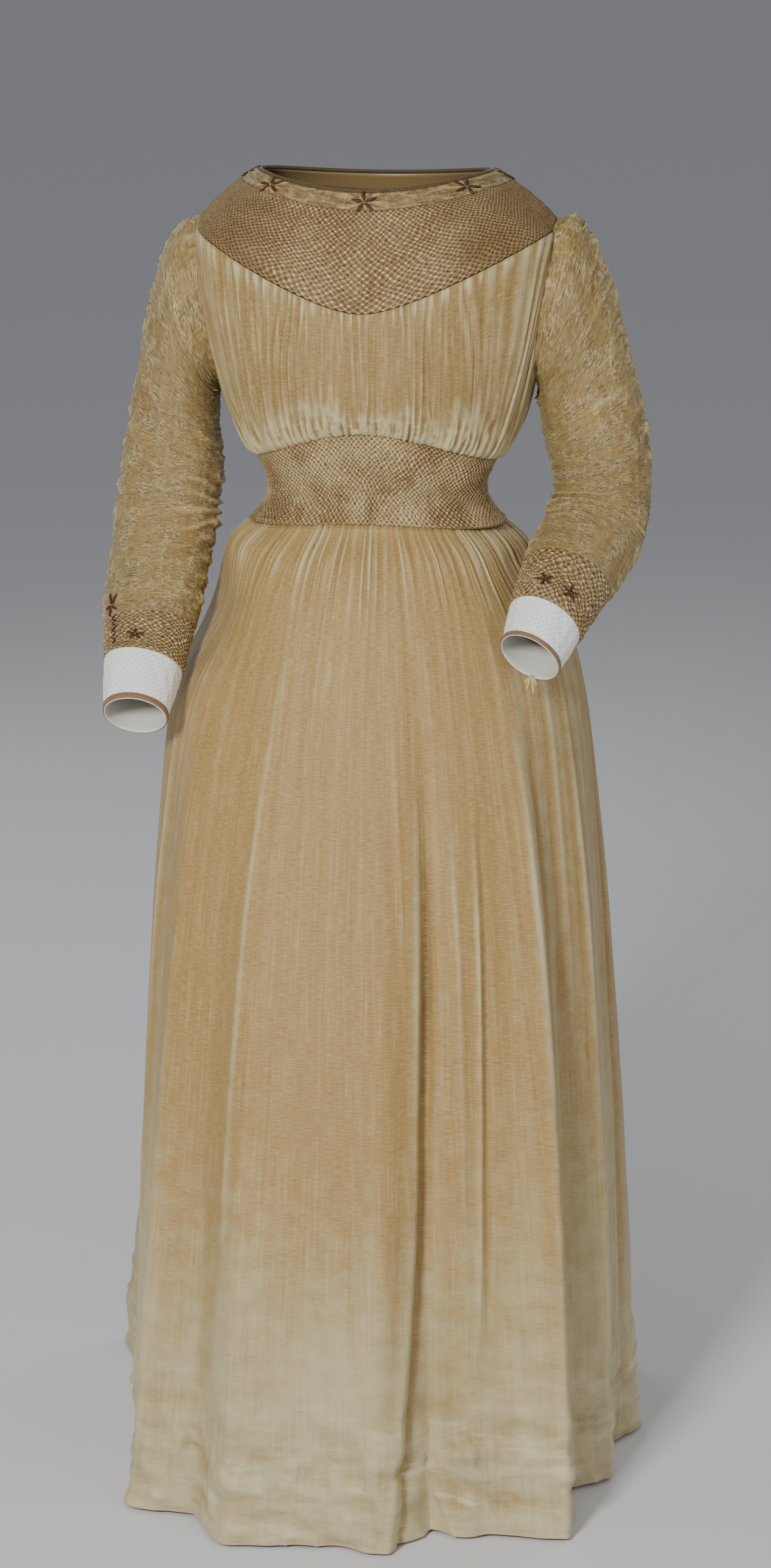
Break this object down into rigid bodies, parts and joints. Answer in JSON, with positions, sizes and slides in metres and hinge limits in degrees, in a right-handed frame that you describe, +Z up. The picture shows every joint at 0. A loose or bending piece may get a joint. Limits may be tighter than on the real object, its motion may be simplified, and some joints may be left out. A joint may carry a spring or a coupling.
{
  "type": "smocked victorian dress",
  "caption": "Floor-length silk dress with smocked yoke, waist and wrists, gathered bodice and skirt, long sleeves and pale cuffs, open at neck, hem and cuffs.",
  "frame": {"origin": "middle of the shoulder line, level with the neck opening's sides, where the wearer's shoulders carry the dress", "axes": "+Z up, -Y to the front of the dress, +X to the wearer's left"},
  "size_m": [0.5937, 0.6531, 1.3549],
  "materials": {
    "gathered_silk": "soft shot silk, tan with a green-grey sheen",
    "smocked_silk": "the same silk drawn up in fine honeycomb smocking",
    "cuff_silk": "plain off-white silk",
    "trim_cloth": "narrow brown tape",
    "binding_cloth": "narrow dark olive binding"
  },
  "bodies": {
    "root": {"neck_binding": "binding_cloth", "neck_band": "gathered_silk", "yoke": "smocked_silk", "bodice_front": "gathered_silk", "bodice_back": "gathered_silk", "waist_smocking": "smocked_silk", "skirt_front": "gathered_silk", "skirt_back": "gathered_silk", "sleeve_right_front": "gathered_silk", "sleeve_right_back": "gathered_silk", "wrist_smocking_right": "smocked_silk", "cuff_right": "cuff_silk", "cuff_trim_right": "trim_cloth", "sleeve_left_front": "gathered_silk", "sleeve_left_back": "gathered_silk", "wrist_smocking_left": "smocked_silk", "cuff_left": "cuff_silk", "cuff_trim_left": "trim_cloth"}
  },
  "joints": []
}
